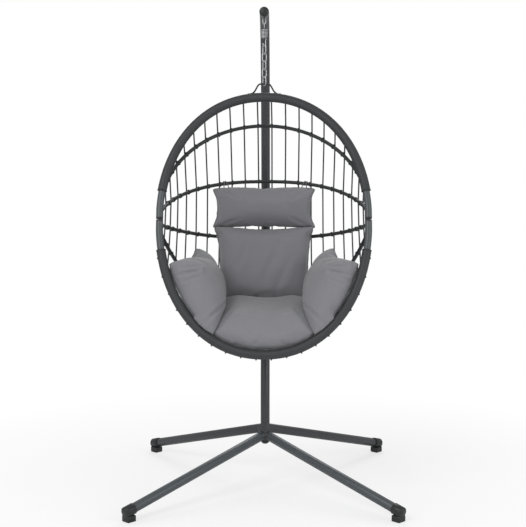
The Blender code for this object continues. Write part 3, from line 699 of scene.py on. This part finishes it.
def rib_turn(centre, rib, out):
    """One tight turn of the cord round the rib, where it crosses."""
    down = rib.cross(out)
    points = []
    for i in range(23):
        a = math.tau * i / 22 * 1.04
        slide = rib * (0.0036 * (i / 11 - 1))
        points.append(centre + slide + (RIB_R + 0.0011) * (math.cos(a) * out + math.sin(a) * down))
    return points


def ring_hitch(across):
    """Where a cord goes round the ring's underside: a half turn over its back and outer edge."""
    centre = ring_at(across, oval_rise(across, False))
    step = 0.004
    ahead = ring_at(across + step, oval_rise(across + step, False))
    along = (ahead - centre).normalized()
    outward = along.cross(RING_NORMAL)
    if outward.dot(UP) > 0:
        outward = -outward
    reach = WRAP_R + ROPE_R * (0.5 if abs(across) < 0.33 else 0.0)  # the outermost lie deeper in the wrap
    points = []
    for i in range(13):
        a = math.radians(-55 + 165 * i / 12)
        points.append(centre + reach * (math.cos(a) * RING_NORMAL + math.sin(a) * outward))
    return points


def make_ropes():
    places = [(-1, n) for n in range(10, 0, -1)] + [(1, n) for n in range(1, 11)]
    for index, (side, number) in enumerate(places, start=1):
        path, turns, bottom_x = rope_course(number)
        pieces = [rod(mirror_x(path, side), ROPE_R, 12)]
        pieces += [rod(mirror_x(rib_turn(*turn), side), ROPE_R * 0.6, 8) for turn in turns]
        pieces.append(rod(mirror_x(ring_hitch(bottom_x), side), ROPE_R, 10))
        settle(joined(pieces), f"rope_{index:02d}", ROPE)


# ---------------------------------------------------------------- cushions


CUSHION_GAP = 0.0006  # between a cushion's back and what it lies on
TOUCH = 0.0008  # between a cushion and the ring, a rib or its neighbour
TUCKED_EDGE = 0.002  # height of a cushion's edge where it is pushed down behind the ring
RIM_DEPTH = 0.004  # cushions stay this far behind the ring's plane
FABRIC_STEP = 0.006  # fineness of the cushions' mesh before its last smoothing, and of their seams
STUFFING_PRESSURE = 3.0
STUFFING_CAP = 0.010
STUFFING_FRAMES = 18
SEAM_R = 0.0014

Cushion = namedtuple("Cushion", "corners drawn_in edge crown square hump carrier")
# corners as turn in degrees and station: low left, low right, high right, high left
# drawn_in: how far the left, right, low and high edges draw in
# edge and crown: height of the seam and of the middle over the cage; square: how full it is towards its edges
# hump: extra height in the middle; carrier: what it lies on


def cage_point(turn, station):
    """A place on the surface through the rods' axes.

    Its turn runs across, its station from the ring's top (0) over the ribs (1 to 4) to the ring's bottom (5).
    """
    share = math.sin(turn)

    def at(stop):
        if stop in (0, 5):
            return ring_at(RING_HALF_WIDTH * share, oval_rise(RING_HALF_WIDTH * share, stop == 0))
        return rib_point(list(RIBS)[stop - 1], share)

    low = min(int(station), 4)
    return at(low).lerp(at(low + 1), station - low)


def cage_inward(turn, station):
    """Direction into the basket, square to the cage."""
    d = 0.02
    across = cage_point(turn + d, station) - cage_point(turn - d, station)
    along = cage_point(turn, min(station + d, 5)) - cage_point(turn, station - d)
    inward = across.cross(along).normalized()
    return inward if inward.dot(SIDE_JOINTS - cage_point(turn, station)) > 0 else -inward


CUSHIONS = {
    "seat_cushion": Cushion(
        corners=((-31, 5.0), (31, 5.0), (31, 4.08), (-31, 4.08)),
        drawn_in=(0, 0, 0, 0.02),
        edge=0.012, crown=0.100, square=7, hump=0.14, carrier="ropes",
    ),
    "back_cushion": Cushion(
        corners=((-31, 3.97), (29.6, 3.97), (33, 2.79), (-34.8, 2.79)),
        drawn_in=(0.03, 0.03, 0.02, 0.02),
        edge=0.016, crown=0.088, square=6, hump=0.05, carrier="ribs",
    ),
    "side_cushion_left": Cushion(
        corners=((-73, 5.02), (-29.5, 5.03), (-47.5, 3.30), (-67, 4.55)),
        drawn_in=(0, -0.36, -0.04, 0),
        edge=0.014, crown=0.122, square=4, hump=0.1, carrier="ribs",
    ),
    "side_cushion_right": Cushion(
        corners=((29.5, 5.03), (73, 5.02), (67, 4.55), (47.5, 3.30)),
        drawn_in=(-0.36, 0, -0.04, 0),
        edge=0.014, crown=0.122, square=4, hump=0.1, carrier="ribs",
    ),
    "head_pillow": Cushion(
        corners=((-34.4, 2.86), (32.8, 2.87), (32.8, 2.04), (-34.4, 2.04)),
        drawn_in=(0.06, 0.06, 0.17, 0.12),
        edge=0.018, crown=0.090, square=3, hump=0.1, carrier="ropes",
    ),
}
CREASES = {  # start (across, up) and end (across, up) on the front panel, from -1 to 1; depth; width
    "back_cushion": (
        (-0.05, -0.45, 0.62, 0.72, 0.003, 0.014),
        (0.25, -0.75, 0.75, 0.05, 0.0025, 0.012),
        (-0.75, -0.2, -0.35, 0.5, 0.002, 0.012),
        (-0.5, -0.95, 0.1, -0.72, 0.003, 0.010),
    ),
    "side_cushion_left": (
        (-0.66, -0.97, -0.50, -0.55, 0.008, 0.0055),
        (-0.80, -0.90, -0.55, -0.35, 0.005, 0.006),
        (-0.48, -0.97, -0.36, -0.72, 0.005, 0.005),
        (0.62, -0.98, 0.86, -0.45, 0.006, 0.007),
        (-0.9, 0.35, -0.4, 0.1, 0.003, 0.008),
    ),
    "side_cushion_right": (
        (0.66, -0.97, 0.50, -0.60, 0.007, 0.0055),
        (0.82, -0.92, 0.60, -0.40, 0.005, 0.006),
        (0.42, -0.97, 0.34, -0.78, 0.004, 0.005),
        (-0.62, -0.98, -0.86, -0.45, 0.006, 0.007),
        (0.9, 0.35, 0.45, 0.15, 0.003, 0.008),
    ),
    "seat_cushion": (
        (-0.95, -0.9, -0.7, -0.2, 0.005, 0.009),
        (0.95, -0.9, 0.75, -0.3, 0.005, 0.009),
        (-0.2, 0.35, 0.35, 0.25, 0.002, 0.014),
    ),
    "head_pillow": (
        (-0.95, 0.9, -0.6, 0.45, 0.004, 0.008),
        (0.95, 0.9, 0.65, 0.4, 0.004, 0.008),
        (-0.95, -0.9, -0.62, -0.5, 0.003, 0.008),
        (0.95, -0.9, 0.65, -0.45, 0.003, 0.008),
    ),
}


def resting_depth(station, carrier):
    """How far inside the rods' axes a cushion's back lies: on the rods, or on the cords between them."""
    if carrier == "ribs":
        return RIB_R + CUSHION_GAP
    outside = max(0, 1 - max(station - 4, 1 - station, 0)) * (RIB_R + ROPE_R + ROPE_GAP)
    return ROPE_R + CUSHION_GAP - outside


def cushion_spot(node, s, t):
    """Turn and station of a place on a cushion, s and t from -1 to 1, its outline drawn in."""
    corners, (left, right, low, high) = CUSHIONS[node].corners, CUSHIONS[node].drawn_in
    u = (s * (1 - (left if s < 0 else right) * (1 - t * t)) + 1) / 2
    v = (t * (1 - (low if t < 0 else high) * (1 - s * s)) + 1) / 2
    a, b, c, d = (Vector(corner) for corner in corners)
    spot = a.lerp(b, u).lerp(d.lerp(c, u), v)
    return math.radians(spot.x), spot.y


def cushion_point(node, s, t, front):
    """The same place on the cushion's front or back panel, before it is stuffed."""
    cushion = CUSHIONS[node]
    turn, station = cushion_spot(node, s, t)
    fill = max(0, (1 - abs(s) ** cushion.square) * (1 - abs(t) ** cushion.square)) ** 0.5
    rest = resting_depth(station, cushion.carrier)
    edge = TUCKED_EDGE + (cushion.edge - TUCKED_EDGE) * min(1, max(0, (4.99 - station) / 0.25))
    if front:
        high = rest + edge + (cushion.crown - edge) * fill * (1 + cushion.hump * (1 - s * s))
    else:
        high = rest + edge * (1 - fill**0.25)
    return cage_point(turn, station) + cage_inward(turn, station) * high


def cut_panel(node, front):
    """One panel of a cushion, bent to the cage."""
    deselect()
    bpy.ops.mesh.primitive_grid_add(x_subdivisions=28, y_subdivisions=28, size=2)
    panel = bpy.context.object
    for vertex in panel.data.vertices:
        s, t = (math.sin(math.pi / 2 * max(-1, min(1, c))) for c in vertex.co.xy)
        vertex.co = cushion_point(node, s, t, front)
    return panel


def seam_loop(node):
    """Points round the edge where the cushion's two panels meet, in order."""
    sides = [(i / 12 - 1, -1) for i in range(24)] + [(1, i / 12 - 1) for i in range(24)]
    sides += [(1 - i / 12, 1) for i in range(24)] + [(-1, 1 - i / 12) for i in range(24)]
    return [cushion_point(node, s, t, False) for s, t in sides]


def fine_loop(loop):
    """The closed loop with more points along it."""
    points = []
    for a, b in zip(loop, loop[1:] + loop[:1]):
        count = max(1, round((b - a).length / FABRIC_STEP))
        points += [a.lerp(b, i / count) for i in range(count)]
    return points


def stuff(piece):
    """Blows the cushion up as cloth, no point moving further than the cap."""
    before = [v.co.copy() for v in piece.data.vertices]
    modifier = piece.modifiers.new("Cloth", "CLOTH")
    settings = modifier.settings
    settings.quality = 4
    settings.mass = 0.4
    settings.tension_stiffness = 12
    settings.compression_stiffness = 8
    settings.bending_stiffness = 0.4
    settings.use_pressure = True
    settings.uniform_pressure_force = STUFFING_PRESSURE
    settings.effector_weights.gravity = 0
    scene = bpy.context.scene
    scene.frame_start = 1
    scene.frame_end = STUFFING_FRAMES
    for number in range(1, STUFFING_FRAMES + 1):
        scene.frame_set(number)
    pick(piece)
    bpy.ops.object.modifier_apply(modifier=modifier.name)
    scene.frame_set(1)
    for vertex, old in zip(piece.data.vertices, before):
        move = vertex.co - old
        if move.length > STUFFING_CAP:
            vertex.co = old + move.normalized() * STUFFING_CAP


def cage_samples():
    """Places on the cage with their ways in, for telling how deep a point lies."""
    places = []
    for i in range(-40, 41):
        for j in range(0, 81):
            turn, station = math.radians(i * 2), 1.9 + j * 3.09 / 80
            places.append((cage_point(turn, station), cage_inward(turn, station), station))
    return places, point_tree([point for point, _, _ in places])


def keep_clear(piece, carrier, cage, rods, neighbours):
    """Lays the cushion on the cage, against the ring and against the cushions that are there already."""
    places, tree = cage
    for vertex in piece.data.vertices:
        _, i, _ = tree.find(vertex.co)
        point, inward, station = places[i]
        short = resting_depth(station, carrier) - (vertex.co - point).dot(inward)
        if short > 0:
            vertex.co += inward * short
        for other in neighbours:
            place, normal, _, far = other.find_nearest(vertex.co)
            if place is not None and (vertex.co - place).dot(normal) < TOUCH and far < 0.06:
                vertex.co = place + normal * TOUCH
        point, i, far = rods.find(vertex.co)
        reach = RODS[i][1] + TOUCH
        if far < reach:
            off = vertex.co - point
            if RODS[i][1] == WRAP_R:
                off += RING_NORMAL * max(0, RIM_DEPTH - off.dot(RING_NORMAL))
            vertex.co = point + off.normalized() * reach


def pucker(piece, loop, depth, reach):
    """Small gathers that run in from the seam, and a slow unevenness further in."""
    tree = point_tree(loop)
    normals = [v.normal.copy() for v in piece.data.vertices]
    for vertex, normal in zip(piece.data.vertices, normals):
        _, i, far = tree.find(vertex.co)
        fade = math.exp(-((far / reach) ** 2))
        gather = 0.5 + 0.5 * math.sin(i * 1.15 + 2.2 * noise.noise(loop[i] * 14))
        vertex.co -= normal * depth * fade * gather
        slow = noise.noise(vertex.co * 9.0) * 0.0035 + noise.noise(vertex.co * 23.0) * 0.0012
        vertex.co += normal * slow * (1 - fade)


def crease(piece, points, depth, width):
    """A fold pressed in along a line, with a soft ridge on each side."""
    line = [piece.closest_point_on_mesh(point)[1] for point in points]
    tree = point_tree(line)
    normals = [v.normal.copy() for v in piece.data.vertices]
    for vertex, normal in zip(piece.data.vertices, normals):
        _, i, off = tree.find(vertex.co)
        if off < 4 * width:
            fade = math.sin(math.pi * (0.12 + 0.8 * i / (len(line) - 1)))
            strength = math.exp(-((off / width) ** 2)) * fade
            ridge = math.exp(-(((off - 2.0 * width) / width) ** 2)) * 0.35
            vertex.co += normal * depth * (ridge - strength)


def seam_cord(piece, node, loop):
    """The cord in the seam, laid on the finished cushion."""
    seam = []
    for point in loop:
        found, place, normal, _ = piece.closest_point_on_mesh(point)
        seam.append(place + normal * 0.0003 if found else point)
    for _ in range(2):
        seam = [(seam[i - 1] + seam[i] * 2 + seam[(i + 1) % len(seam)]) / 4 for i in range(len(seam))]
    cord = rod(seam, SEAM_R, 8, closed=True)
    paint(cord, SEAM)
    cord.name = f"{node}_seam"
    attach(cord, BODY_OF[node])


def make_cushion(node, cage, rods, neighbours):
    """Two panels, sewn, stuffed, laid on the cage and creased; gives back its surface for the next ones."""
    carrier = CUSHIONS[node].carrier
    piece = joined([cut_panel(node, True), cut_panel(node, False)])
    bpy.ops.object.mode_set(mode="EDIT")
    bpy.ops.mesh.select_all(action="SELECT")
    bpy.ops.mesh.remove_doubles(threshold=0.0002)
    bpy.ops.mesh.normals_make_consistent(inside=False)
    bpy.ops.object.mode_set(mode="OBJECT")
    keep_clear(piece, carrier, cage, rods, neighbours)
    apply_modifier(piece, "REMESH", mode="VOXEL", voxel_size=FABRIC_STEP)
    stuff(piece)
    apply_modifier(piece, "SMOOTH", factor=0.5, iterations=4)
    loop = fine_loop(seam_loop(node))
    pucker(piece, loop, 0.0022, 0.022)
    keep_clear(piece, carrier, cage, rods, neighbours)
    apply_modifier(piece, "SMOOTH", factor=0.4, iterations=2)
    for s0, t0, s1, t1, depth, width in CREASES[node]:
        shares = [i / 40 for i in range(41)]
        line = [cushion_point(node, s0 + (s1 - s0) * i, t0 + (t1 - t0) * i, True) for i in shares]
        crease(piece, line, depth, width)
    keep_clear(piece, carrier, cage, rods, neighbours)
    apply_modifier(piece, "SUBSURF", levels=1, render_levels=1)
    smooth(piece, 180)
    seam_cord(piece, node, loop)
    settle(piece, node, CLOTH)
    corners = [v.co for v in piece.data.vertices]
    return BVHTree.FromPolygons(corners, [p.vertices for p in piece.data.polygons])


def make_cushions():
    cage, rods, laid = cage_samples(), point_tree([point for point, _ in RODS]), []
    for node in CUSHIONS:
        laid.append(make_cushion(node, cage, rods, laid))


def make_ties():
    """A string at each top corner of the pillow: two strands round the rod, held together by a dark knot."""
    for hand, side in (("left", -1), ("right", 1)):
        share = side * math.sin(TIE_TURN)
        centre = rib_point("rib_upper", share)
        rib = rib_way("rib_upper", share)
        front = (Vector((0, -1, 0)) - Vector((0, -1, 0)).dot(rib) * rib).normalized()
        up = front.cross(rib).normalized()
        if up.z < 0:
            up = -up
        reach = RIB_R + 0.0024
        strands = []
        for leg in (-1, 1):
            path = [centre + rib * leg * 0.0125 + front * 0.016 - up * 0.026]
            path.append(centre + rib * leg * 0.0095 + front * (reach + 0.002) - up * 0.010)
            for i in range(13):
                a = math.radians(-5 + 215 * i / 12)
                slide = rib * leg * (0.0060 - 0.0003 * i)
                path.append(centre + slide + reach * (math.cos(a) * front + math.sin(a) * up))
            strands.append(rod(path, TIE_R, 8))
        settle(joined(strands), f"pillow_tie_{hand}", TIE)
        middle = centre + front * (RIB_R + 0.0045) - up * 0.0045
        loops = []
        for leg in (-1, 1):
            loops.append(ring_round(middle + rib * leg * 0.0028, front + rib * leg * 0.5, 0.0024, 0.0018, 16))
        knot = joined(loops)
        paint(knot, KNOT)
        knot.name = f"pillow_knot_{hand}"
        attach(knot, BODY_OF[f"pillow_tie_{hand}"])


# ---------------------------------------------------------------- studio


def make_studio():
    """A pale floor that fades to white away from the stand, a white world and three soft lamps."""
    deselect()
    bpy.ops.mesh.primitive_plane_add(size=60, location=(0, 0, 0))
    floor = bpy.context.object
    floor.name = "studio_floor"
    material = bpy.data.materials.new("pale_floor")
    material.use_nodes = True
    tree = material.node_tree
    shader = tree.nodes["Principled BSDF"]
    shader.inputs["Base Color"].default_value = (0.90, 0.90, 0.90, 1)
    shader.inputs["Roughness"].default_value = 0.9
    shader.inputs["Specular IOR Level"].default_value = 0.1
    white = tree.nodes.new("ShaderNodeEmission")
    rays = tree.nodes.new("ShaderNodeLightPath")
    place = tree.nodes.new("ShaderNodeTexCoord")
    far = tree.nodes.new("ShaderNodeVectorMath")
    far.operation = "LENGTH"
    fade = tree.nodes.new("ShaderNodeMapRange")
    fade.inputs["From Min"].default_value = 0.6
    fade.inputs["From Max"].default_value = 1.9
    fade.inputs["To Min"].default_value = 0.6
    seen = tree.nodes.new("ShaderNodeMath")
    seen.operation = "MULTIPLY"
    mix = tree.nodes.new("ShaderNodeMixShader")
    tree.links.new(place.outputs["Object"], far.inputs[0])
    tree.links.new(far.outputs["Value"], fade.inputs["Value"])
    tree.links.new(fade.outputs["Result"], seen.inputs[0])
    tree.links.new(rays.outputs["Is Camera Ray"], seen.inputs[1])
    tree.links.new(seen.outputs[0], mix.inputs[0])
    tree.links.new(shader.outputs[0], mix.inputs[1])
    tree.links.new(white.outputs[0], mix.inputs[2])
    tree.links.new(mix.outputs[0], tree.nodes["Material Output"].inputs["Surface"])
    floor.data.materials.append(material)

    world = bpy.data.worlds.new("studio")
    bpy.context.scene.world = world
    world.use_nodes = True
    nodes, links = world.node_tree.nodes, world.node_tree.links
    background = nodes["Background"]
    background.inputs["Color"].default_value = (1, 1, 1, 1)
    path = nodes.new("ShaderNodeLightPath")
    level = nodes.new("ShaderNodeMapRange")
    level.inputs["To Min"].default_value = 0.55
    level.inputs["To Max"].default_value = 1.0
    links.new(path.outputs["Is Camera Ray"], level.inputs["Value"])
    links.new(level.outputs["Result"], background.inputs["Strength"])

    lamps = (  # place, width in metres, watts
        ("key_panel", (-2.4, -3.4, 3.6), 2.6, 95),
        ("fill_panel", (3.2, -2.6, 2.2), 2.4, 45),
        ("back_panel", (0.4, 3.2, 3.2), 2.2, 40),
    )
    for name, spot, size, power in lamps:
        light = bpy.data.lights.new(name, "AREA")
        light.shape = "DISK"
        light.size = size
        light.energy = power
        lamp = bpy.data.objects.new(name, light)
        bpy.context.collection.objects.link(lamp)
        lamp.location = spot
        lamp.rotation_euler = (Vector((0, 0, 1.0)) - Vector(spot)).to_track_quat("-Z", "Y").to_euler()


def make_camera():
    """The photograph's camera, measured on its picture of 526 by 527 pixels."""
    focal, middle, ahead, side = 1180, 263, 278.2, 527
    data = bpy.data.cameras.new("photo_view")
    data.sensor_width = 36
    data.lens = focal / side * 36
    data.shift_x = (middle - ahead) / side
    camera = bpy.data.objects.new("photo_view", data)
    bpy.context.collection.objects.link(camera)
    camera.location = (0.055, -4.8825, 1.4291)
    camera.rotation_euler = (math.pi / 2 - 0.100995, 0, 0)
    bpy.context.scene.camera = camera


bpy.context.scene.view_settings.view_transform = "Standard"
make_camera()
make_studio()
make_stand()
make_eye()
make_hanger()
make_ring()
make_ribs()
make_ropes()
make_cushions()
make_ties()
